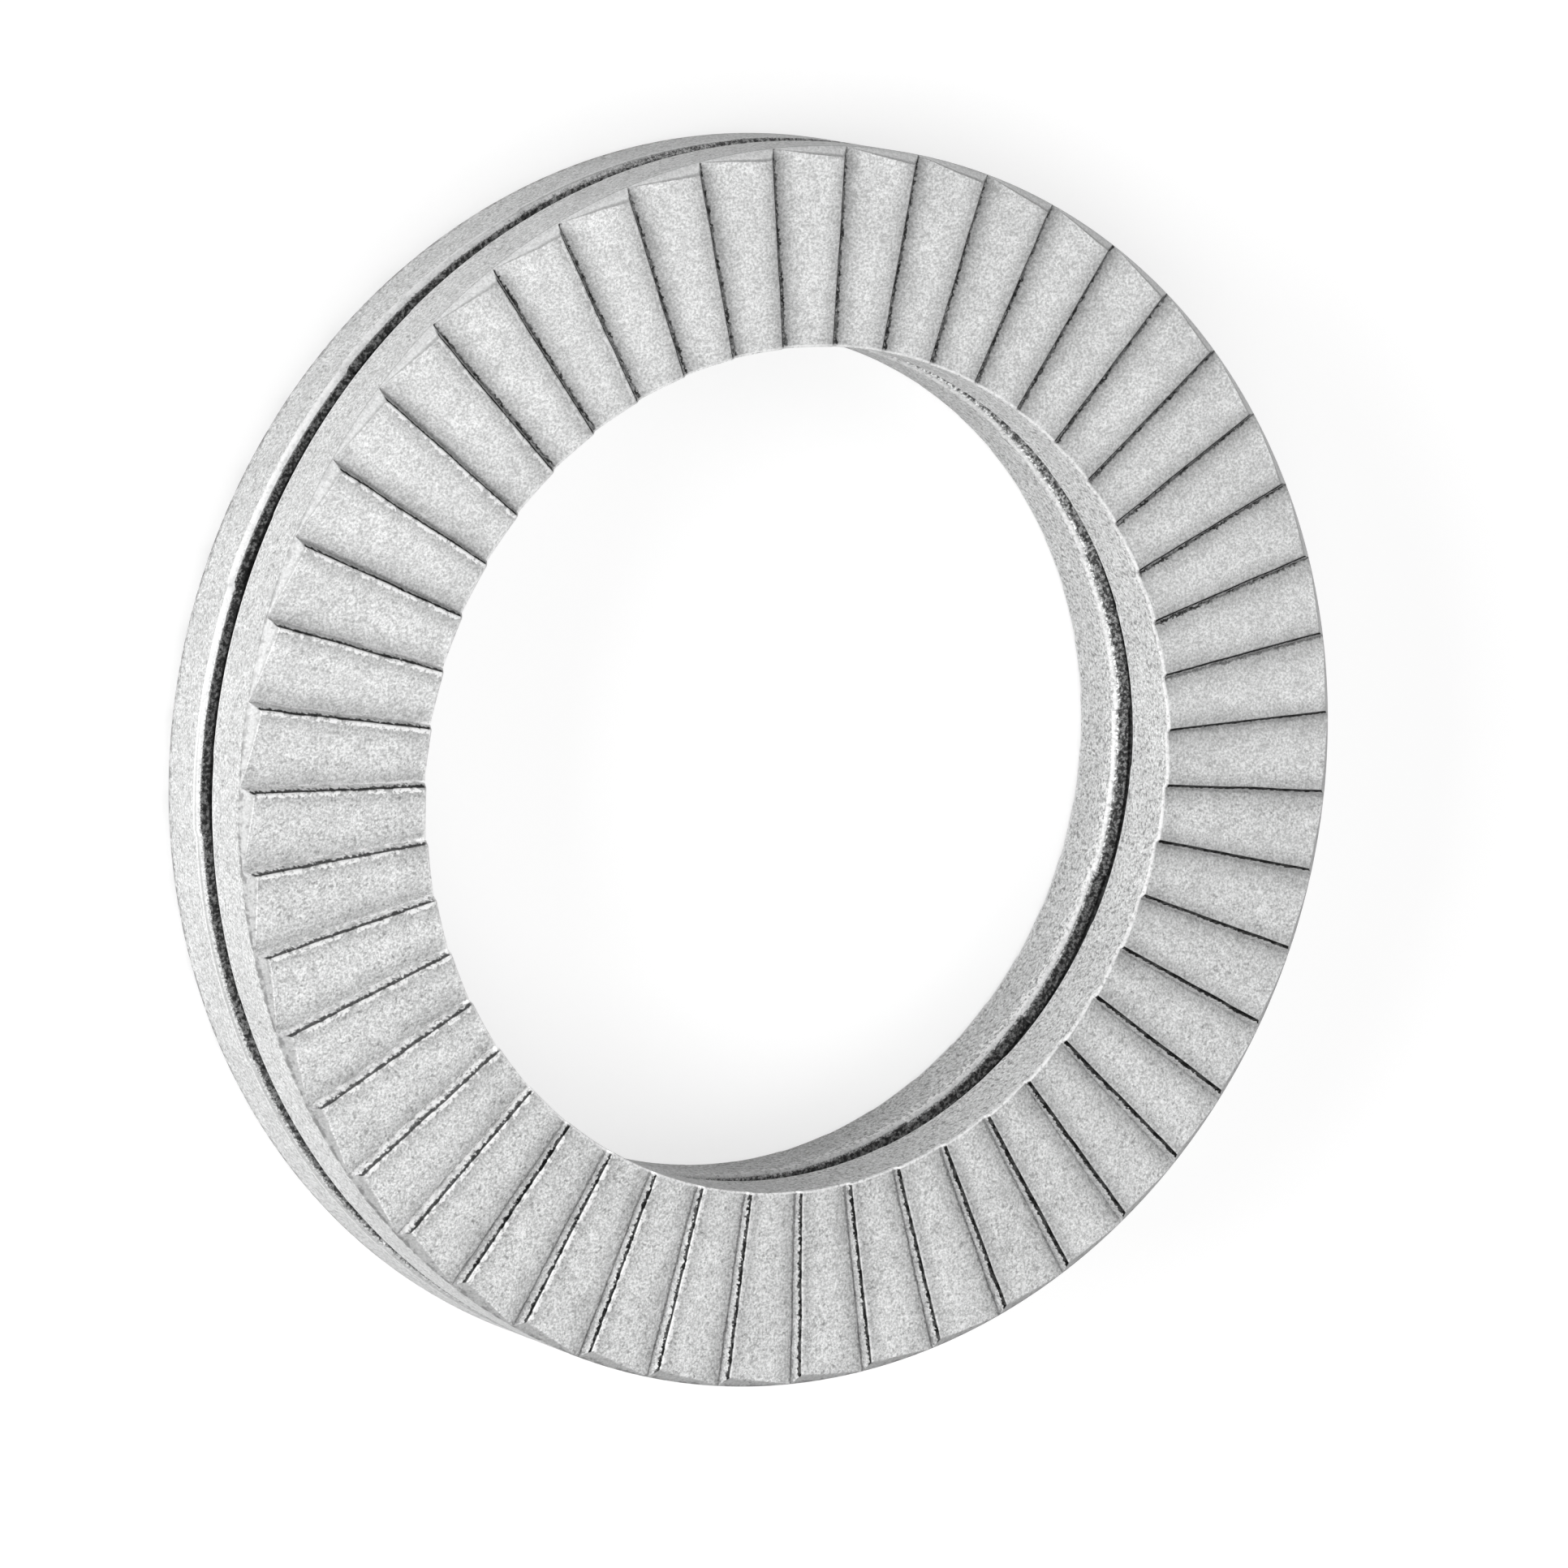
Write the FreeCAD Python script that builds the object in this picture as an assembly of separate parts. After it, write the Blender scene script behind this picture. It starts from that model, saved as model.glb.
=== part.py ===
import FreeCAD, Part
import math
import os

# Wedge lock washer pair: two identical ring washers laid cam face to cam face.
# The lower one lies with its teeth on the ground plane z = 0, the upper one is turned over.
# Lengths in millimetres, angles in degrees, the common axis is Z.

bore_diameter = 28.6
outer_diameter = 42.0
nested_thickness = 5.8          # pair over the tooth crests, cams fully nested

tooth_count = 47                # radial saw-teeth on the outer face of each washer
tooth_height = 0.36             # at the rim, dying away towards the axis
tooth_flank_run = 0.2           # width in plan of the steep flank, at the rim
tooth_land = 0.12               # flat crest that meets the clamped part, at the rim
rim_chamfer = 0.38              # 45 degree bevel that cuts the outer ends of the teeth

cam_count = 16                  # ramps on the inner face of each washer
cam_rise = 0.3                  # from the foot of a ramp to its top
cam_setback = 0.65              # from the rim and from the bore wall to the cam ring
seam_relief = 0.2               # from the shoulder beside the cam ring to the foot of a ramp
seam_chamfer = 0.15             # on the shoulder's edges, at the rim and at the bore wall
cam_climb = 12.5                # turn of the upper washer, up the ramps of the lower one

# Sizes that follow from the ones above.
bore_radius = bore_diameter / 2
outer_radius = outer_diameter / 2
tooth_pitch = 360 / tooth_count
cam_pitch = 360 / cam_count
shoulder_height = nested_thickness / 2 - seam_relief - cam_rise / 2
cam_foot = shoulder_height + seam_relief
cam_top = cam_foot + cam_rise
climb_lift = cam_rise * cam_climb / cam_pitch
pair_thickness = nested_thickness + climb_lift
cutter_margin = 1.0             # how far the cutting bodies reach past the metal


def washer_blank():
    """Turned ring: plain face at z = 0 with the rim bevel, raised ring for the cams on top."""
    cam_inner = bore_radius + cam_setback
    cam_outer = outer_radius - cam_setback
    outline = [
        (bore_radius, 0),
        (outer_radius - rim_chamfer, 0),
        (outer_radius, rim_chamfer),
        (outer_radius, shoulder_height - seam_chamfer),
        (outer_radius - seam_chamfer, shoulder_height),
        (cam_outer, shoulder_height),
        (cam_outer, cam_top),
        (cam_inner, cam_top),
        (cam_inner, shoulder_height),
        (bore_radius + seam_chamfer, shoulder_height),
        (bore_radius, shoulder_height - seam_chamfer),
    ]
    points = [FreeCAD.Vector(radius, 0, height) for radius, height in outline]
    section = Part.Face(Part.makePolygon(points + points[:1]))
    return section.revolve(FreeCAD.Vector(0, 0, 0), FreeCAD.Vector(0, 0, 1), 360)


def bar_between(near, far):
    """Solid with flat faces whose two ends are the given rings of corners."""
    outlines = [near, far]
    for index in range(len(near)):
        outlines.append([near[index - 1], near[index], far[index], far[index - 1]])
    faces = [Part.Face(Part.makePolygon(outline + outline[:1])) for outline in outlines]
    bar = Part.Solid(Part.Shell(faces))
    bar.fix(1e-6, 1e-6, 1e-6)
    return bar


def tooth_gap():
    """Space between two crests: the steep flank down to a valley, then a gradual ramp up.

    The valley is on the +X direction. All the sloping faces run towards one point on the
    axis, so the teeth narrow and flatten together from the rim to the bore.
    """
    flank_angle = math.degrees(tooth_flank_run / outer_radius)
    land_angle = math.degrees(tooth_land / outer_radius)
    ramp_angle = tooth_pitch - flank_angle - land_angle
    middle = (ramp_angle - flank_angle) / 2

    def section(distance):
        depth = tooth_height * distance / outer_radius
        corners = [(-flank_angle, 0), (0, depth), (ramp_angle, 0)]
        corners += [(ramp_angle, -cutter_margin), (-flank_angle, -cutter_margin)]
        points = []
        for angle, height in corners:
            across = distance * math.tan(math.radians(angle - middle))
            points.append(FreeCAD.Vector(distance, across, height))
        return points

    gap = bar_between(section(bore_radius - cutter_margin), section(outer_radius + cutter_margin))
    gap.rotate(FreeCAD.Vector(0, 0, 0), FreeCAD.Vector(0, 0, 1), middle)
    return gap


def space_above_cam():
    """Space above one cam ramp, which climbs evenly and counter-clockwise seen from above."""
    steps = 4
    sections = []
    for step in range(steps + 1):
        angle = math.radians(cam_pitch * step / steps)
        height = cam_foot + cam_rise * step / steps
        across = FreeCAD.Vector(math.cos(angle), math.sin(angle), 0)
        near = across * (bore_radius + cam_setback / 2)
        far = across * (outer_radius - cam_setback / 2)
        low = FreeCAD.Vector(0, 0, height)
        high = FreeCAD.Vector(0, 0, cam_top + cutter_margin)
        points = [near + low, far + low, far + high, near + high]
        sections.append(Part.makePolygon(points + points[:1]))
    return Part.makeLoft(sections, True, False)


def around_axis(shape, count):
    """Copies of a shape, evenly spaced about the axis."""
    copies = []
    for index in range(count):
        copy = shape.copy()
        copy.rotate(FreeCAD.Vector(0, 0, 0), FreeCAD.Vector(0, 0, 1), index * 360 / count)
        copies.append(copy)
    return copies


def washer():
    """One washer as it lies with its teeth down and its cams up."""
    toothed = washer_blank().cut(around_axis(tooth_gap(), tooth_count))
    return toothed.cut(around_axis(space_above_cam(), cam_count))


lower_washer = washer()
upper_washer = lower_washer.copy()
upper_washer.rotate(FreeCAD.Vector(0, 0, 0), FreeCAD.Vector(1, 0, 0), 180)
upper_washer.rotate(FreeCAD.Vector(0, 0, 0), FreeCAD.Vector(0, 0, 1), cam_climb)
upper_washer.translate(FreeCAD.Vector(0, 0, pair_thickness))

os.makedirs("parts", exist_ok=True)
lower_washer.exportStep("parts/lower_washer.step")
upper_washer.exportStep("parts/upper_washer.step")
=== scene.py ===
import math

import bpy
import numpy as np
from mathutils import Matrix, Vector


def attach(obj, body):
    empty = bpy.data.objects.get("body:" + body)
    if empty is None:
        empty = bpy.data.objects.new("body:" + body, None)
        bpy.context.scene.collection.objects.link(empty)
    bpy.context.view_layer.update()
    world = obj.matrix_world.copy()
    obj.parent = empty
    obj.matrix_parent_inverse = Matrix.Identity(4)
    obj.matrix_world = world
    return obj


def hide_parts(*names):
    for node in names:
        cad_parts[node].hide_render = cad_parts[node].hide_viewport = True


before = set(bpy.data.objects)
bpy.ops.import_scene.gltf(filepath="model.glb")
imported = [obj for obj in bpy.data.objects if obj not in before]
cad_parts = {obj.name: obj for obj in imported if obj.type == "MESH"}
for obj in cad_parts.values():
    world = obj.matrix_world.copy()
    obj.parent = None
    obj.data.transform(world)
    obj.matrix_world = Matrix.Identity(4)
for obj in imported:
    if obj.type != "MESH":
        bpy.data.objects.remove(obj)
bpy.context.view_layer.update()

MM = 0.001

# The washer pair, in millimetres, with the same sizes as its solids.
BORE = 14.3                     # radii
RIM = 21.0
TOOTH_COUNT = 47
TOOTH_HEIGHT = 0.36
FLANK_RUN = 0.2
LAND = 0.12
RIM_CHAMFER = 0.38
CAM_COUNT = 16
CAM_RISE = 0.3
CAM_SETBACK = 0.65
SEAM_CHAMFER = 0.15
SHOULDER = 2.55                 # heights over the tooth crests
CAM_FOOT = 2.75
CAM_CLIMB = 12.5                # turn of the upper washer, in degrees
NESTED_THICKNESS = 5.8
PAIR_THICKNESS = NESTED_THICKNESS + CAM_RISE * CAM_CLIMB * CAM_COUNT / 360
BEVEL_START = RIM - RIM_CHAMFER     # radius at which the rim bevel leaves the crests

# Surface detail that the solids leave out, in millimetres.
VALLEY_GROOVE = 0.04            # depth of the fine groove along each valley
GROOVE_WIDTH = 0.05
GROOVE_START = 0.02             # shares of the valley over which the groove starts at the bore
GROOVE_END = 0.05               # and ends at the bevel
CREST_ROUND = 0.05              # how far the crest edge is worn back from the steep flank
FLANK_CURVE = 1.3               # over 1, the flank starts gently under its crest
TOOTH_BULGE = 0.13              # rise of the ramp over a flat one, as a share of the tooth height
LINE_WOBBLE = 0.012             # how far a valley wanders from a straight line
LINE_TAPER = 0.4                # under 1, that fades only near the valley's ends
WOBBLE_KNOTS = 11               # places along a valley where that is drawn at random
WOBBLE_REACH = 0.7              # how far beside the valley the face moves with it
TOOTH_SHIFT = 0.012             # how far whole valleys lie off their pitch
BEVEL_WANDER = 0.012            # unevenness of the line where the rim bevel starts
BEVEL_KNOTS = 235               # places round the rim where that is drawn at random
FADE_REACH = 0.3                # how far from the bore the teeth flatten
DIP_LEAD = 1.5                  # degrees by which the seam's edge is ahead of the cams
EDGE_STEP = 0.02                # from an edge to the row of points beside it
BRIGHT_EDGE_STEP = 0.08                # from the seam's edges to the row where their wear and painted highlight end
CAM_EDGE = 0.03                 # bevel of the cam ring's edges
DROP_LEAST = -0.3               # range of the drop mark
DROP_MOST = 0.5
SHARP_ANGLE = 32                # degrees between two faces, over which their edge stays sharp

# What differs between the washers.
# bore_edge: bevel of the bore on the toothed side. seam_dip: how far the shoulder's edge follows
# the cams. bore_fade: how much flatter the teeth end at the bore. rim_line: width of the thin dark
# line of painted shade where the bevel meets the rim wall. bore_flecks: share of bright flecks in
# the bore wall beside the seam. The last entry: side of the ring, in degrees, whose valleys get the
# most painted shade.
LOWER = {
    "seed": 11, "bore_edge": 0.24, "seam_dip": 0.16, "bore_fade": 0.8,
    "rim_line": 0.2, "bore_flecks": 1.0, "soot_side": 0,
}
UPPER = {
    "seed": 5, "bore_edge": 0.07, "seam_dip": 0.05, "bore_fade": 0.4,
    "rim_line": 0.06, "bore_flecks": 0.25, "soot_side": -59,
}

# Turns, in degrees, from the side of a washer with the most painted shade to the one
PAINTED_HIGHLIGHT_TURN = -120              # whose flanks get a painted highlight
BEVEL_TURN = -15                # whose bevel has the strongest painted highlight
BORE_TURN = 130                 # whose bore edge has the strongest painted highlight
FLECK_TURN = -65                # whose bore wall has most flecks beside the seam
WIDE_TURN = 75                  # whose seam's painted shade reaches up to its edge
NARROW_TURN = 140               # whose seam's painted shade is narrowest at the rim
WIDE_FOCUS = 6                  # the higher, the shorter the stretch round that side
NARROW_FOCUS = 3
PAINTED_HIGHLIGHT_SPREAD = 0.05            # how unlike each other neighbouring teeth are in painted highlight and painted shade
PAINTED_SHADE_SPREAD = 0.04

# Lengths along the rim.
PITCH_ARC = 2 * math.pi * RIM / TOOTH_COUNT
RAMP_ARC = PITCH_ARC - FLANK_RUN - LAND         # where the ramp from the valley meets the land
CREST_ARC = PITCH_ARC - FLANK_RUN               # where the land meets the steep flank
RAMP_STOPS = [0, 0.025, 0.05, 0.09, 0.15, 0.25, 0.4, 0.6, 0.85, 1.1, 1.35, 1.6, 1.82, 2.02, 2.2]
RAMP_STOPS += [2.34, 2.44, RAMP_ARC]
CREST_STOPS = [-0.08, -0.055, -0.03, 0, 0.03, 0.06, 0.095, 0.13, 0.165, 0.185]  # from the crest
CAM_STOPS = [-0.12, -0.03, 0.03, 0.12]          # degrees from the step between two cams

# Shares of the way from the bore to the bevel, across the bevel, and along the walls.
FACE_SHARES = [0, 0.006, 0.03, 0.07, 0.12, 0.18, 0.25, 0.32, 0.4, 0.48, 0.56, 0.64, 0.72, 0.8]
FACE_SHARES += [0.88, 0.95, 1]
BEVEL_SHARES = [0.33, 0.67]
RIM_WALL_SHARES = [0.12, 0.4, 0.7]
BORE_WALL_SHARES = [0.3, 0.6, 0.9]
WALL_START = 0.03               # from the end of the bevel to the first row of the rim wall
RIM_LINE_ROW = 0.12             # and to the second, where the dark line of painted shade fades
BEVEL_SLANT = 1.4               # length along the bevel over the distance from the rim

# Rows of points on the seam's chamfer at the rim: how far inside the rim, how far past the wall's
# edge, the bevel mark (painted highlight) and the slot mark (painted shade), what the slot's painted
# shade gains on the wide side, and the wear and painted highlight of the edge on the narrow side.
RIM_SEAM_ROWS = [
    (0.04, 0.04, 0.6, 0.3, 0.25, 0.8),
    (0.08, 0.08, 0.0, 0.38, 0.2, 0.8),
    (0.12, 0.11, 0.0, 0.44, 0.14, 0.7),
]
# Rows on the shoulders: how far from the rim or the bore, and the slot mark, how much painted shade.
RIM_SHOULDER_ROWS = [(0.3, 0.6), (0.45, 0.7), (0.55, 1.0), (CAM_SETBACK, 1.0)]
BORE_SHOULDER_ROWS = [(CAM_SETBACK, 1.0), (0.6, 1.0), (0.5, 0.6), (0.3, 0.6), (0.17, 0.5)]

# Surface marks that the coating reads, with their values where a row of points gives none.
# valley, crest: distance from them. drop: distance from the crest edge, down the flank.
# rim: distance from the bevel's outer edge, in widths of the dark line of painted shade. reach:
# share of the way from the bore to the bevel. The two side marks: how much painted shade the valleys
# and how much painted highlight the flanks, lands and face get on that side; in the seam, the
# painted shade mark darkens it. edge, bevel, slot, face, pits, fleck: how much of those; the edge
# mark is wear with a painted highlight, the bevel mark the bevel's colour with its painted
# highlight, the slot mark the seam's painted shade.
MARKS = {
    "valley": 1.0, "crest": 1.0, "drop": 0.0, "edge": 0.0, "bevel": 0.0, "rim": 1.0, "slot": 0.0,
    "face": 0.0, "reach": 1.0, "soot": 0.0, "bright": 0.0, "pits": 0.0, "fleck": 0.0,
}

# Look of the coating: linear levels, sizes of its noises in millimetres, and distances.
COAT_LEVEL = 0.62
# Level of worn metal and of painted highlights.
WORN_AND_HIGHLIT_LEVEL = 0.9
# Level of the thin dark line of painted shade on the rim wall.
RIM_LINE_LEVEL = 0.12
RED_SHARE = 0.995               # red over green and blue
FINE_GRAIN = 0.09               # speckle
MEDIUM_GRAIN = 0.5
BROAD_GRAIN = 2.6
JAG_GRAIN = 0.13                # frays the edges of lines
PATCH_GRAIN = 0.3               # breaks lines and worn edges into dashes
RAGGEDNESS = 0.28               # how far the lines' edges stray
SEAM_RAGGEDNESS = 0.55          # how far the seam's dark edge strays, as a share of its mark
BUMP_DEPTH = 0.012

# Studio. Lamps: name, azimuth from +X towards +Y, elevation, size in metres, power in watts.
FLOOR_SIZE = 4
FLOOR_DROP = 0.00002            # under the tooth crests
FLOOR_PLAIN_LEVEL = 0.5         # of the floor that lights the part
FLOOR_SHARE = 0.4               # of the floor that the camera sees
FLOOR_LIFT = 0.68               # light added to that
LAMPS = [
    ("key_lamp", 170, 18, 0.3, 2.7),
    ("top_lamp", 250, 66, 0.4, 1.32),
    ("fill_lamp", 10, 48, 0.4, 0.78),
]
LAMP_DISTANCE = 0.5
WORLD_LEVEL = 0.1
CAMERA_PLACE = (-0.16411202, 0.06364174, 0.30043199)
CAMERA_RIGHT = (0.86782587, -0.0571343, 0.49357263)
CAMERA_UP = (0.14116118, 0.98078484, -0.13466483)
CAMERA_BACK = (-0.47639457, 0.18653892, 0.8592156)
CAMERA_LENS = 235.028
CAMERA_SENSOR = 36


def angle_stops():
    """Angles, in degrees, at which the ring's section is drawn."""
    tooth_pitch = 360 / TOOTH_COUNT
    cam_pitch = 360 / CAM_COUNT
    arcs = RAMP_STOPS + [CREST_ARC + past for past in CREST_STOPS]
    stops = [(tooth + arc / PITCH_ARC) * tooth_pitch for tooth in range(TOOTH_COUNT) for arc in arcs]
    stops += [cam * cam_pitch + past for cam in range(CAM_COUNT) for past in CAM_STOPS]
    return np.unique(np.round(np.mod(stops, 360), 5))


def smooth(value, low, high):
    """0 below low, 1 above high, with an even curve between them."""
    share = np.clip((value - low) / (high - low), 0, 1)
    return share * share * (3 - 2 * share)


def tooth_depth(arc):
    """Depth of the tooth face under the crest plane, as a share of the tooth height."""
    share = np.clip(arc / RAMP_ARC, 0, 1)
    ramp = 1 - share - TOOTH_BULGE * 4 * share * (1 - share)
    flank_start = CREST_ARC - CREST_ROUND
    fall = np.clip((arc - flank_start) / (FLANK_RUN + CREST_ROUND), 0, 1)
    return np.where(arc > flank_start, fall ** FLANK_CURVE, ramp)


def cam_height(angle):
    """Height of the cam surface over the tooth crests."""
    share = np.mod(angle * CAM_COUNT / 360, 1)
    return CAM_FOOT + CAM_RISE * share


class Ring:
    """Rows of points around one washer, teeth down, from the tooth face round its section."""

    def __init__(self, look):
        self.look = look
        self.rows = []
        self.angles = angle_stops()
        turns = self.angles * TOOTH_COUNT / 360
        arc = np.mod(turns, 1) * PITCH_ARC
        self.tooth = np.floor(turns + 0.5).astype(int) % TOOTH_COUNT
        self.depth = tooth_depth(arc)
        self.to_valley = np.minimum(arc, PITCH_ARC - arc)
        self.to_crest = np.minimum(np.abs(arc - CREST_ARC), arc + FLANK_RUN)
        nearing = np.maximum(arc - CREST_ARC, DROP_LEAST)
        leaving = np.minimum(arc + FLANK_RUN, DROP_MOST)
        self.drop = np.where(arc > PITCH_ARC / 2, nearing, leaving)

        random = np.random.default_rng(look["seed"])
        bevel_wander = random.normal(0, BEVEL_WANDER, BEVEL_KNOTS)
        bright = random.normal(0, PAINTED_HIGHLIGHT_SPREAD, TOOTH_COUNT)[self.tooth]
        soot = random.normal(0, PAINTED_SHADE_SPREAD, TOOTH_COUNT)[self.tooth]
        self.wobble = random.normal(0, 1, (TOOTH_COUNT, WOBBLE_KNOTS))
        self.tooth_shift = random.normal(0, TOOTH_SHIFT, TOOTH_COUNT)[self.tooth]

        # The bevel cuts the face where both are as deep.
        self.bevel_rim = RIM - EDGE_STEP
        meet = BEVEL_START / (1 - TOOTH_HEIGHT * self.depth / RIM)
        knots = np.linspace(0, 360, BEVEL_KNOTS + 1)
        wander = np.interp(self.angles, knots, np.append(bevel_wander, 0)) * (1 - self.depth)
        self.meet = np.minimum(np.minimum(meet, self.bevel_rim) + wander, self.bevel_rim)
        self.bevel_end = np.maximum(RIM_CHAMFER, TOOTH_HEIGHT * self.depth)

        # The seam's edge follows the cams a little.
        dip = look["seam_dip"] * (cam_height(self.angles + DIP_LEAD) - CAM_FOOT) / CAM_RISE
        self.shoulder = SHOULDER - dip
        self.wall_end = SHOULDER - SEAM_CHAMFER - dip

        # Painted light and shade by side of the ring: the flanks' painted highlight, the valleys'
        # painted shade, the bevel's and the bore edge's painted highlights, where the flecks gather,
        # and how far the seam's painted shade reaches.
        self.bright = np.clip(0.5 + 0.5 * self.toward(PAINTED_HIGHLIGHT_TURN) + bright, 0, 1)
        self.soot = np.clip(0.5 + 0.5 * self.toward(0) + soot, 0, 1)
        self.bevel_highlight = 0.3 + 0.7 * np.clip(0.3 + 0.7 * self.toward(BEVEL_TURN), 0, 1)
        self.bore_edge_highlight = 0.6 + 0.4 * np.clip(self.toward(BORE_TURN), 0, 1)
        self.flecked = np.clip(self.toward(FLECK_TURN), 0, 1)
        self.wide = np.clip(self.toward(WIDE_TURN), 0, 1) ** WIDE_FOCUS
        self.narrow = np.clip(self.toward(NARROW_TURN), 0, 1) ** NARROW_FOCUS

        self.add_tooth_face()
        self.add_bevel()
        self.add_rim_wall()
        self.add_rim_seam()
        self.add_cam_ring()
        self.add_bore_seam()
        self.add_bore_wall()

    def toward(self, turn):
        """1 on the side at that turn from the darkest one, -1 opposite."""
        return np.cos(np.radians(self.angles - self.look["soot_side"] - turn))

    def add(self, radius, height, shift=0, **marks):
        """Row of points at that radius and height, moved round the ring by shift."""
        self.rows.append((radius, height, shift, marks))

    def add_tooth_face(self):
        """From the bore to the bevel, with wandering valleys."""
        inner = BORE + self.look["bore_edge"]
        groove = VALLEY_GROOVE * np.exp(-(self.to_valley / GROOVE_WIDTH) ** 2)
        near_valley = np.exp(-(self.to_valley / WOBBLE_REACH) ** 2)
        knots = np.linspace(0, 1, WOBBLE_KNOTS)
        for share in FACE_SHARES:
            radius = inner * (1 - share) + self.meet * share
            local = radius / RIM
            fade = 1 - self.look["bore_fade"] * np.exp(-(radius - BORE) / FADE_REACH)
            ends = smooth(share, 0, GROOVE_START) * smooth(1 - share, 0, GROOVE_END)
            height = local * fade * TOOTH_HEIGHT * self.depth + groove * ends
            wobble = np.array([np.interp(share, knots, line) for line in self.wobble])[self.tooth]
            wobble = LINE_WOBBLE * wobble * math.sin(math.pi * share) ** LINE_TAPER
            # The side marks carry painted shade and painted highlight; the row at the bore's edge
            # gets that edge's painted highlight.
            self.add(radius, height, (wobble + self.tooth_shift) * near_valley, face=1.0,
                     valley=self.to_valley * local, crest=self.to_crest * local,
                     drop=self.drop * local, reach=share, soot=self.soot, bright=self.bright,
                     edge=self.bore_edge_highlight if share == 0 else 0.0)

    def add_bevel(self):
        """Bevel of the rim, with its painted highlight by side, and the first rows of the wall,
        where the thin dark line of painted shade is.
        """
        line = self.look["rim_line"]
        marks = {"valley": self.to_valley, "crest": self.to_crest, "bevel": self.bevel_highlight}
        for share in BEVEL_SHARES:
            radius = self.meet * (1 - share) + self.bevel_rim * share
            along = (RIM - radius) * BEVEL_SLANT
            self.add(radius, radius - BEVEL_START, soot=self.soot, rim=along / line, **marks)
        self.add(self.bevel_rim, self.bevel_end - EDGE_STEP, soot=self.soot, rim=0.0, **marks)
        for past in (WALL_START, RIM_LINE_ROW):
            self.add(RIM, self.bevel_end + past, soot=self.soot, rim=past / line)

    def add_rim_wall(self):
        """Outer wall, from the bevel to the seam."""
        start = self.bevel_end + WALL_START
        for share in RIM_WALL_SHARES:
            self.add(RIM, start * (1 - share) + self.wall_end * share)
        self.add(RIM, self.wall_end - BRIGHT_EDGE_STEP)
        # The wall's last row gets wear with a painted highlight along its edge and, on the wide
        # side, some of the seam's painted shade.
        self.add(RIM, self.wall_end - EDGE_STEP, edge=0.7, slot=0.38 * self.wide, soot=1.0)

    def add_rim_seam(self):
        """Chamfer and shoulder on the rim's side of the cam ring."""
        narrow = self.narrow
        # The chamfer carries the bevel's painted highlight and the seam's painted shade; on the
        # narrow side the painted shade shrinks and the edge gets wear with a painted highlight, on
        # the wide side the painted shade grows.
        for inside, past, bevel, slot, wider, wear_and_highlight in RIM_SEAM_ROWS:
            self.add(RIM - inside, self.wall_end + past, bevel=bevel * (1 - narrow),
                     edge=wear_and_highlight * narrow, slot=slot * (1 - 0.4 * narrow) + wider * self.wide,
                     soot=1.0)
        self.add(RIM - 0.17, self.shoulder, edge=0.5 * narrow, slot=0.5 * (1 - 0.3 * narrow),
                 soot=1.0)
        for inside, slot in RIM_SHOULDER_ROWS:
            self.add(RIM - inside, self.shoulder, slot=slot, soot=1.0)

    def add_cam_ring(self):
        """Raised ring with the cam ramps, which the seam hides."""
        outer, inner = RIM - CAM_SETBACK, BORE + CAM_SETBACK
        # The cam ring gets the seam's full painted shade, black.
        cam = cam_height(self.angles)
        self.add(outer, cam - CAM_EDGE, slot=1.0)
        for radius in (outer - CAM_EDGE, (RIM + BORE) / 2, inner + CAM_EDGE):
            self.add(radius, cam, slot=1.0)
        self.add(inner, cam - CAM_EDGE, slot=1.0)

    def add_bore_seam(self):
        """Shoulder and chamfer on the bore's side of the cam ring."""
        # The seam's painted shade is lighter here than at the rim, most where the wall has few
        # flecks; the rows at the bore's edge get wear with a painted highlight.
        soot = 0.9 * self.flecked ** 2
        for inside, slot in BORE_SHOULDER_ROWS:
            self.add(BORE + inside, self.shoulder, slot=slot, soot=soot)
        self.add(BORE + 0.12, self.wall_end + 0.11, slot=0.45, soot=soot)
        self.add(BORE + 0.08, self.wall_end + 0.08, edge=0.6, slot=0.25, soot=soot)
        self.add(BORE + 0.04, self.wall_end + 0.04, edge=1.0)

    def add_bore_wall(self):
        """From the seam back to the tooth face."""
        flecks, flecked = self.look["bore_flecks"], self.flecked
        # Next to the seam the wall's edge gets wear with a painted highlight.
        self.add(BORE, self.wall_end - EDGE_STEP, edge=0.5, fleck=flecks * (0.3 + 0.7 * flecked))
        self.add(BORE, self.wall_end - BRIGHT_EDGE_STEP, pits=1.0, fleck=flecks * (0.2 + 0.6 * flecked))
        bevel = self.look["bore_edge"]
        face = BORE / RIM * (1 - self.look["bore_fade"]) * TOOTH_HEIGHT * self.depth
        for share in BORE_WALL_SHARES:
            self.add(BORE, self.wall_end * (1 - share) + (face + bevel) * share, pits=1.0)
        self.add(BORE, face + bevel + 0.05, pits=1.0)
        # The bore's front edge gets a painted highlight, strongest on one side.
        self.add(BORE, face + bevel + 0.015, edge=self.bore_edge_highlight * 0.6)
        self.add(BORE + bevel * 0.25, face + bevel * 0.3, edge=self.bore_edge_highlight)

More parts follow.
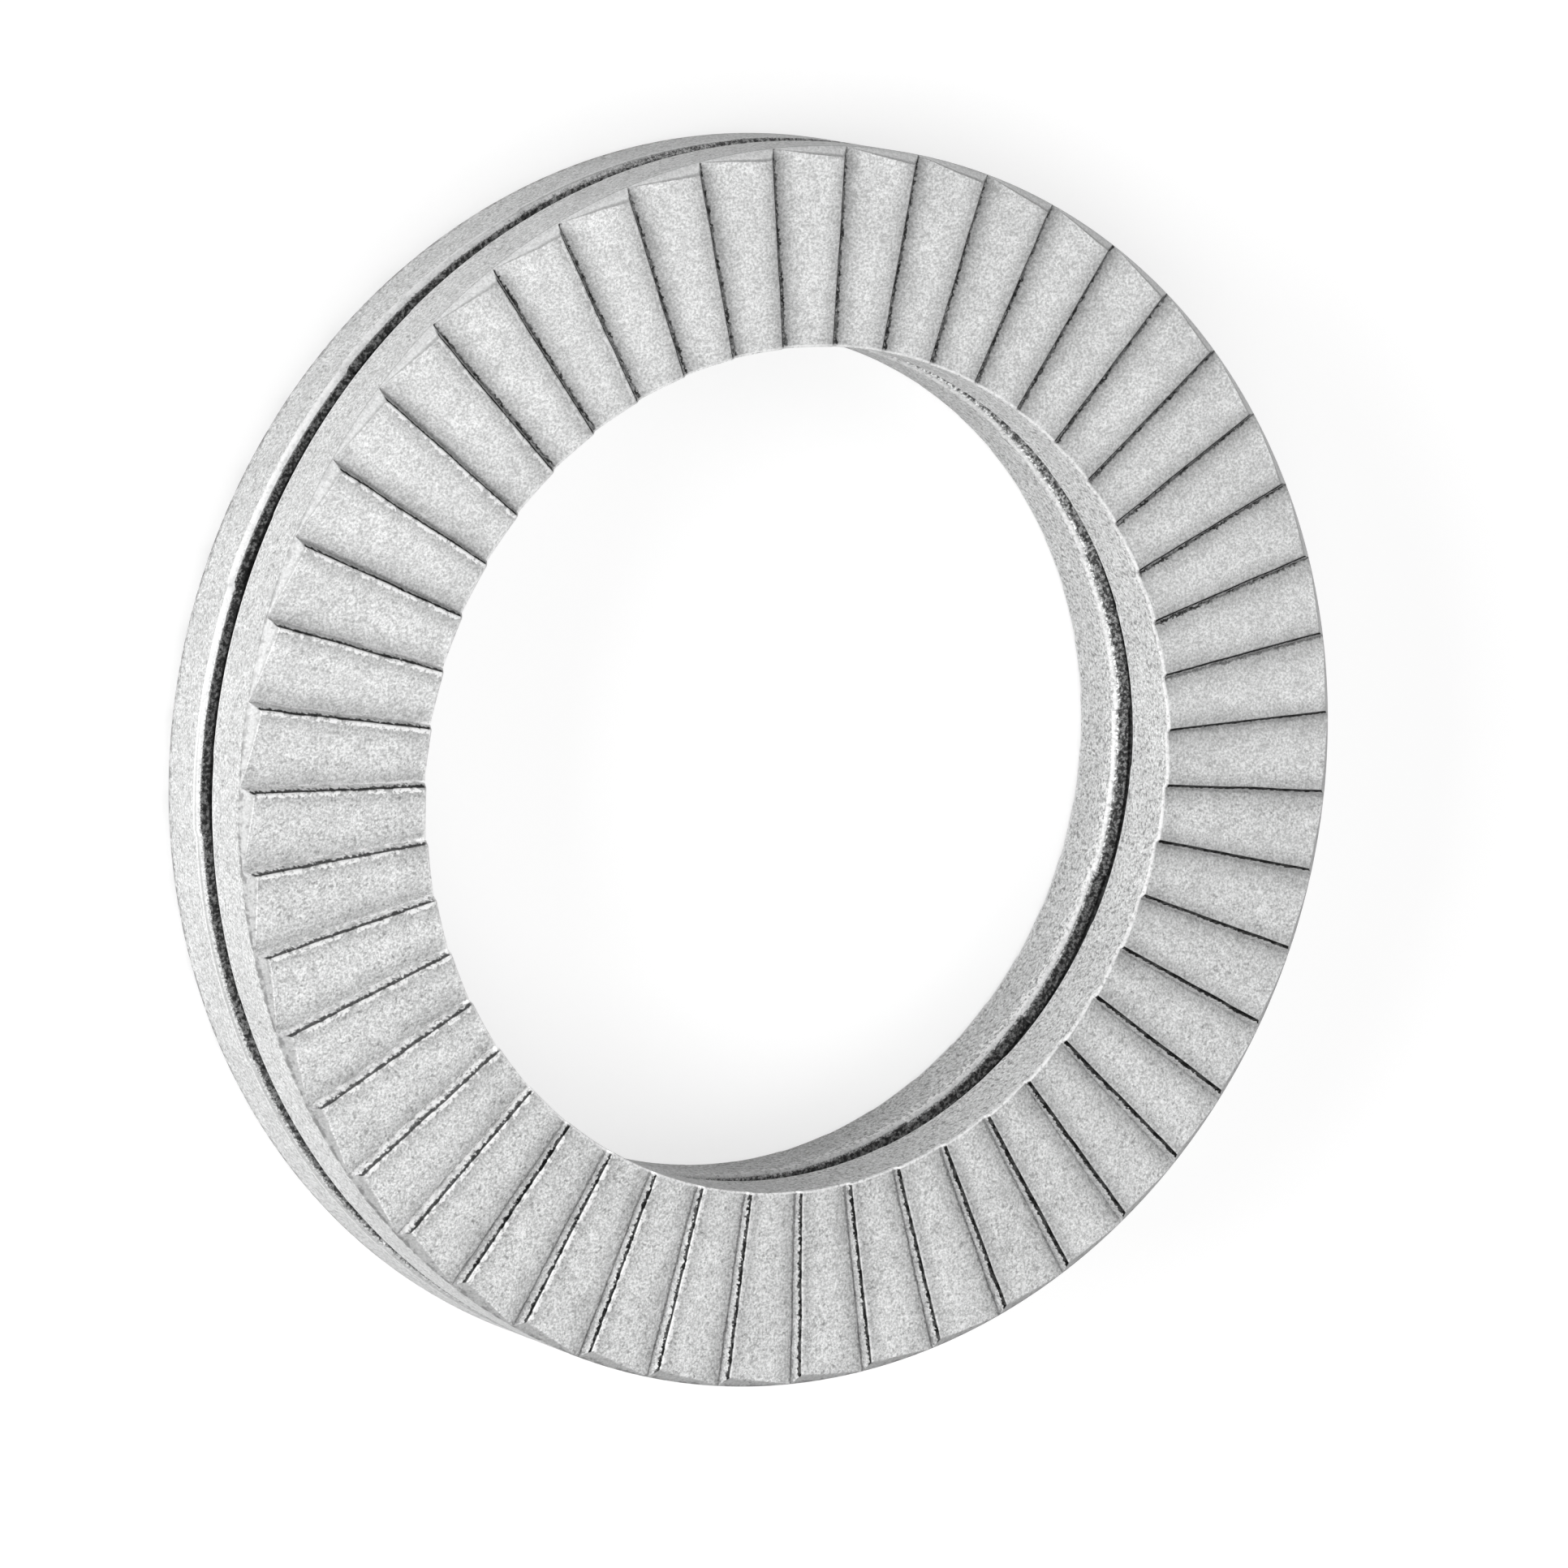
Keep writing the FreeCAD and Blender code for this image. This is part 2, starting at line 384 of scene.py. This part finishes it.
    def mesh_data(self):
        """Vertices, faces and surface marks."""
        shape = (len(self.angles), len(self.rows))
        points = np.zeros(shape + (3,))
        marks = {mark: np.full(shape, value) for mark, value in MARKS.items()}
        for index, (radius, height, shift, given) in enumerate(self.rows):
            turned = np.radians(self.angles) + shift / RIM
            points[:, index, 0] = radius * np.cos(turned)
            points[:, index, 1] = radius * np.sin(turned)
            points[:, index, 2] = height
            for mark, value in given.items():
                marks[mark][:, index] = np.minimum(value, 1.0)
        here = np.arange(shape[0] * shape[1]).reshape(shape)
        ahead = np.roll(here, -1, axis=0)
        corners = [here, ahead, np.roll(ahead, -1, axis=1), np.roll(here, -1, axis=1)]
        faces = np.stack(corners, axis=-1).reshape(-1, 4)
        return points.reshape(-1, 3), faces, {mark: grid.ravel() for mark, grid in marks.items()}


def washer_piece(name, node, look, turned_over):
    """Washer as a scene piece that stands for its solid."""
    points, faces, marks = Ring(look).mesh_data()
    if turned_over:
        climb = math.radians(CAM_CLIMB)
        across, along, up = points[:, 0].copy(), -points[:, 1], -points[:, 2]
        points[:, 0] = across * math.cos(climb) - along * math.sin(climb)
        points[:, 1] = across * math.sin(climb) + along * math.cos(climb)
        points[:, 2] = up + PAIR_THICKNESS
    mesh = bpy.data.meshes.new(name)
    mesh.from_pydata((points * MM).tolist(), [], faces.tolist())
    for mark, values in marks.items():
        attribute = mesh.attributes.new(mark, "FLOAT", "POINT")
        attribute.data.foreach_set("value", values.astype(np.float32))
    mesh.shade_smooth()
    mesh.set_sharp_from_angle(angle=math.radians(SHARP_ANGLE))
    mesh.validate()
    piece = bpy.data.objects.new(name, mesh)
    bpy.context.scene.collection.objects.link(piece)
    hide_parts(node)
    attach(piece, "root")
    return piece


def grey(level):
    """Colour of that linear level."""
    return (level, level, level, 1.0)


class Shader:
    """Short calls for building one node material."""

    def __init__(self, name):
        self.material = bpy.data.materials.new(name)
        self.material.use_nodes = True
        self.tree = self.material.node_tree
        self.tree.nodes.clear()
        self.output = self.tree.nodes.new("ShaderNodeOutputMaterial")

    def put(self, socket, value):
        """Link or set the socket."""
        if isinstance(value, bpy.types.NodeSocket):
            self.tree.links.new(value, socket)
        else:
            socket.default_value = value

    def mark(self, name):
        """Surface mark of the mesh."""
        node = self.tree.nodes.new("ShaderNodeAttribute")
        node.attribute_name = name
        return node.outputs["Fac"]

    def math(self, operation, *values):
        """Result of one math node."""
        node = self.tree.nodes.new("ShaderNodeMath")
        node.operation = operation
        for socket, value in zip(node.inputs, values):
            self.put(socket, value)
        return node.outputs[0]

    def times(self, first, *others):
        """Product of all."""
        for other in others:
            first = self.math("MULTIPLY", first, other)
        return first

    def plus(self, first, second):
        """Sum of both."""
        return self.math("ADD", first, second)

    def minus(self, first, second):
        """Difference of both."""
        return self.math("SUBTRACT", first, second)

    def larger(self, first, second):
        """The larger of both."""
        return self.math("MAXIMUM", first, second)

    def noise(self, size_mm, roughness, offset):
        """Noise of about that feature size, even about 0.5."""
        place = self.tree.nodes.new("ShaderNodeTexCoord").outputs["Object"]
        moved = self.tree.nodes.new("ShaderNodeVectorMath")
        moved.operation = "ADD"
        self.put(moved.inputs[0], place)
        moved.inputs[1].default_value = (offset, offset * 0.7, offset * 1.3)
        node = self.tree.nodes.new("ShaderNodeTexNoise")
        node.inputs["Scale"].default_value = 1 / (size_mm * MM)
        node.inputs["Detail"].default_value = 2.0
        node.inputs["Roughness"].default_value = roughness
        self.put(node.inputs["Vector"], moved.outputs[0])
        return node.outputs["Fac"]

    def step(self, value, low, high, first=0.0, last=1.0):
        """first below low, last above high, smooth between."""
        node = self.tree.nodes.new("ShaderNodeMapRange")
        node.interpolation_type = "SMOOTHSTEP"
        self.put(node.inputs["Value"], value)
        self.put(node.inputs["From Min"], low)
        self.put(node.inputs["From Max"], high)
        self.put(node.inputs["To Min"], first)
        self.put(node.inputs["To Max"], last)
        return node.outputs[0]

    def band(self, value, low, rise, fall, high):
        """1 from rise to fall, 0 below low and above high."""
        return self.times(self.step(value, low, rise), self.step(value, fall, high, 1.0, 0.0))

    def blend(self, factor, first, second):
        """Mix of two colours."""
        node = self.tree.nodes.new("ShaderNodeMix")
        node.data_type = "RGBA"
        self.put(node.inputs[0], factor)
        self.put(node.inputs[6], first)
        self.put(node.inputs[7], second)
        return node.outputs[2]

    def neutral(self, level):
        """Neutral grey of a level that varies over the surface."""
        node = self.tree.nodes.new("ShaderNodeCombineColor")
        self.put(node.inputs[0], self.times(level, RED_SHARE))
        self.put(node.inputs[1], level)
        self.put(node.inputs[2], level)
        return node.outputs[0]


class Coating(Shader):
    """Matte zinc-flake coating: fine speckle, painted shade in the valleys and the seam, worn edges
    with painted highlights.
    """

    def __init__(self):
        super().__init__("zinc_flake_coating")
        self.fine = self.noise(FINE_GRAIN, 0.75, 0.0)
        self.medium = self.noise(MEDIUM_GRAIN, 0.5, 0.31)
        self.broad = self.noise(BROAD_GRAIN, 0.5, 0.77)
        self.jag = self.noise(JAG_GRAIN, 0.6, 0.11)
        self.patch = self.noise(PATCH_GRAIN, 0.6, 0.53)
        self.marks = {name: self.mark(name) for name in MARKS}
        crest = self.step(self.marks["crest"], 0.35, 0.45, 1.0, 0.0)
        self.near_crest = self.times(self.marks["face"], crest)
        self.fray = self.minus(self.jag, 0.5)
        self.ragged = self.times(self.fray, RAGGEDNESS)
        self.ragged_drop = self.plus(self.marks["drop"], self.ragged)

        # Lines of painted shade darken the coating and dull its specular reflection.
        line_shade = self.painted_shade_lines()
        level = self.times(self.coat_level(), self.minus(1.0, line_shade))
        colour = self.blend(self.worn_and_highlit(), self.neutral(level), grey(WORN_AND_HIGHLIT_LEVEL))
        colour = self.with_bevel(colour)
        colour = self.with_seam(colour)

        shader = self.tree.nodes.new("ShaderNodeBsdfPrincipled")
        self.put(shader.inputs["Base Color"], colour)
        specular = self.minus(0.5, self.times(line_shade, 0.45))
        self.put(shader.inputs["Specular IOR Level"], specular)
        self.put(shader.inputs["Metallic"], 0.15)
        self.put(shader.inputs["Roughness"], self.step(self.fine, 0.3, 0.7, 0.5, 0.62))
        bump = self.tree.nodes.new("ShaderNodeBump")
        self.put(bump.inputs["Height"], self.plus(self.fine, self.times(self.medium, 0.6)))
        self.put(bump.inputs["Distance"], BUMP_DEPTH * MM)
        self.put(bump.inputs["Strength"], 0.6)
        self.put(shader.inputs["Normal"], bump.outputs[0])
        self.put(self.output.inputs["Surface"], shader.outputs[0])

    def coat_level(self):
        """Level of the coating, as a product of its variations."""
        marks = self.marks
        grain = self.times(
            self.step(self.fine, 0.3, 0.7, 0.68, 1.31),
            self.step(self.medium, 0.3, 0.7, 0.94, 1.06),
            self.step(self.broad, 0.35, 0.65, 0.97, 1.03))
        # Painted shade and light: each tooth is darker along its valley and a little along its
        # crest, lighter in its middle, and a little darker at the bore.
        shade = self.times(
            self.step(marks["valley"], 0.0, 0.9, 0.8, 1.1),
            self.step(marks["crest"], 0.0, 0.6, 0.9, 1.02),
            self.step(marks["reach"], 0.0, 0.3, 0.94, 1.0))
        shade = self.plus(1.0, self.times(marks["face"], self.minus(shade, 1.0)))
        # Painted light and shade by side of the ring: the face is lighter on its highlighted side
        # and darker on its shaded side.
        side = self.plus(
            self.step(marks["bright"], 0.0, 1.0, -0.03, 0.04),
            self.step(marks["soot"], 0.0, 1.0, 0.065, -0.065))
        side = self.plus(1.0, self.times(marks["face"], side))
        pits = self.times(marks["pits"], self.step(self.jag, 0.38, 0.48, 0.35, 0.0))
        return self.times(grain, shade, side, COAT_LEVEL, self.minus(1.0, pits))

    def painted_shade_lines(self):
        """Share of the two lines of painted shade on each tooth, in the crease under the crest and
        along the valley, with ragged edges and uneven depth.
        """
        bright, soot, drop = self.marks["bright"], self.marks["soot"], self.marks["drop"]
        # Painted shade in the crease on the flank, just under the crest.
        width = self.step(bright, 0.2, 0.6, 0.09, 0.065)
        past = self.plus(self.minus(drop, width), self.times(self.ragged, 0.6))
        under = self.times(
            self.step(past, -0.01, 0.01, 1.0, 0.0),
            self.step(bright, 0.92, 0.99, 1.0, 0.86),
            self.step(drop, -0.02, -0.005),
            self.step(self.patch, 0.42, 0.6, 0.99, 0.93))
        # Painted shade along the valley, strongest on the shaded side of the ring and weaker on the
        # other.
        side = self.plus(
            self.step(soot, 0.62, 0.75, 0.0, 0.92),
            self.step(soot, 0.06, 0.2, 0.5, 0.0))
        valley = self.times(
            self.band(self.ragged_drop, 0.15, 0.18, 0.23, 0.27),
            side,
            self.step(self.patch, 0.4, 0.6, 1.0, 0.6))
        return self.times(self.larger(under, valley), self.near_crest)

    def worn_and_highlit(self):
        """Share of bright worn metal and painted highlight: along the edges, in flecks beside the
        seam, and on one side's flanks and lands.
        """
        bright, drop, fleck = self.marks["bright"], self.marks["drop"], self.marks["fleck"]
        edges = self.times(self.marks["edge"], self.step(self.patch, 0.38, 0.54, 0.45, 1.0))
        flecks = self.times(
            self.step(self.plus(self.jag, self.times(fleck, 0.2)), 0.62, 0.7),
            self.step(fleck, 0.0, 0.2, 0.0, 0.9))
        # Painted highlights on the flanks and lands of the teeth on the highlighted side.
        flanks = self.times(
            self.band(self.ragged_drop, 0.07, 0.1, 0.2, 0.24),
            self.near_crest,
            self.step(bright, 0.9, 0.98),
            self.step(self.patch, 0.42, 0.54, 0.35, 1.0))
        lands = self.times(
            self.step(self.ragged_drop, -0.16, -0.12),
            self.step(drop, -0.01, 0.01, 1.0, 0.0),
            self.near_crest,
            self.step(bright, 0.35, 0.95),
            self.step(self.patch, 0.42, 0.5))
        return self.larger(self.larger(edges, flecks), self.larger(flanks, lands))

    def with_bevel(self, colour):
        """Bevel of the rim, smoother than the face and lit by a painted highlight that varies by
        side, and its thin broken line of painted shade on the wall.
        """
        bevel = self.marks["bevel"]
        tone = self.times(
            self.plus(0.36, self.times(bevel, bevel, 0.45)),
            self.step(self.fine, 0.3, 0.7, 0.86, 1.14))
        colour = self.blend(self.step(bevel, 0.0, 0.3, 0.0, 0.85), colour, self.neutral(tone))
        widths = self.plus(self.marks["rim"], self.times(self.ragged, 8.0))
        line = self.times(
            self.step(widths, 0.4, 1.1, 1.0, 0.0),
            self.step(self.patch, 0.42, 0.56, 0.15, 0.7),
            self.step(self.marks["soot"], 0.4, 0.7, 1.0, 0.15))
        return self.blend(line, colour, grey(RIM_LINE_LEVEL))

    def with_seam(self, colour):
        """Painted shade in the seam's recess: rough, darker on the rim's side and black at its
        depth.
        """
        slot = self.marks["slot"]
        seam_shade = self.times(
            self.step(self.fine, 0.34, 0.66, 0.3, 1.0),
            self.step(self.jag, 0.42, 0.6, 0.1, 0.62),
            self.step(self.marks["soot"], 0.0, 1.0, 2.0, 1.05),
            self.step(slot, 0.46, 0.58, 1.15, 0.75),
            self.step(slot, 0.65, 0.95, 1.0, 0.12))
        ragged = self.plus(slot, self.times(self.fray, SEAM_RAGGEDNESS))
        return self.blend(self.step(ragged, 0.38, 0.43), colour, self.neutral(seam_shade))


def floor_material():
    """Pale floor that the camera sees as white except where a shadow falls."""
    s = Shader("pale_floor")
    path = s.tree.nodes.new("ShaderNodeLightPath").outputs
    seen = s.larger(path["Is Camera Ray"], path["Is Glossy Ray"])
    seen = s.larger(seen, path["Is Transmission Ray"])
    plain = s.tree.nodes.new("ShaderNodeBsdfDiffuse")
    plain.inputs["Color"].default_value = grey(FLOOR_PLAIN_LEVEL)
    shown = s.tree.nodes.new("ShaderNodeBsdfDiffuse")
    shown.inputs["Color"].default_value = grey(FLOOR_SHARE)
    lift = s.tree.nodes.new("ShaderNodeEmission")
    lift.inputs["Strength"].default_value = FLOOR_LIFT
    both = s.tree.nodes.new("ShaderNodeAddShader")
    s.put(both.inputs[0], shown.outputs[0])
    s.put(both.inputs[1], lift.outputs[0])
    mix = s.tree.nodes.new("ShaderNodeMixShader")
    s.put(mix.inputs[0], seen)
    s.put(mix.inputs[1], plain.outputs[0])
    s.put(mix.inputs[2], both.outputs[0])
    s.put(s.output.inputs["Surface"], mix.outputs[0])
    return s.material


def add_lamp(name, azimuth, elevation, size, power):
    """Square area lamp that faces the origin from that side."""
    data = bpy.data.lights.new(name, "AREA")
    data.shape = "SQUARE"
    data.size = size
    data.energy = power
    thing = bpy.data.objects.new(name, data)
    side, rise = math.radians(azimuth), math.radians(elevation)
    flat = math.cos(rise)
    away = Vector((math.cos(side) * flat, math.sin(side) * flat, math.sin(rise)))
    thing.location = away * LAMP_DISTANCE
    thing.rotation_euler = away.to_track_quat("Z", "Y").to_euler()
    bpy.context.scene.collection.objects.link(thing)


def add_camera():
    """Camera that was fitted to the outlines in the photo."""
    data = bpy.data.cameras.new("camera")
    data.sensor_width = CAMERA_SENSOR
    data.lens = CAMERA_LENS
    data.clip_start = 0.01
    data.clip_end = 20
    thing = bpy.data.objects.new("camera", data)
    rows = (Vector(CAMERA_RIGHT), Vector(CAMERA_UP), Vector(CAMERA_BACK))
    turn = Matrix(rows).transposed().to_4x4()
    thing.matrix_world = Matrix.Translation(CAMERA_PLACE) @ turn
    bpy.context.scene.collection.objects.link(thing)
    return thing


coating = Coating().material
lower = washer_piece("lower_ring", "lower_washer", LOWER, turned_over=False)
upper = washer_piece("upper_ring", "upper_washer", UPPER, turned_over=True)
for piece in (lower, upper):
    piece.data.materials.append(coating)

bpy.ops.mesh.primitive_plane_add(size=FLOOR_SIZE, location=(0, 0, -FLOOR_DROP))
floor = bpy.context.object
floor.name = "floor"
floor.data.materials.append(floor_material())

bpy.context.scene.camera = add_camera()
for lamp in LAMPS:
    add_lamp(*lamp)

world = bpy.data.worlds.new("studio")
world.use_nodes = True
background = world.node_tree.nodes["Background"]
background.inputs["Color"].default_value = (1, 1, 1, 1)
background.inputs["Strength"].default_value = WORLD_LEVEL
bpy.context.scene.world = world
bpy.context.scene.view_settings.view_transform = "Standard"
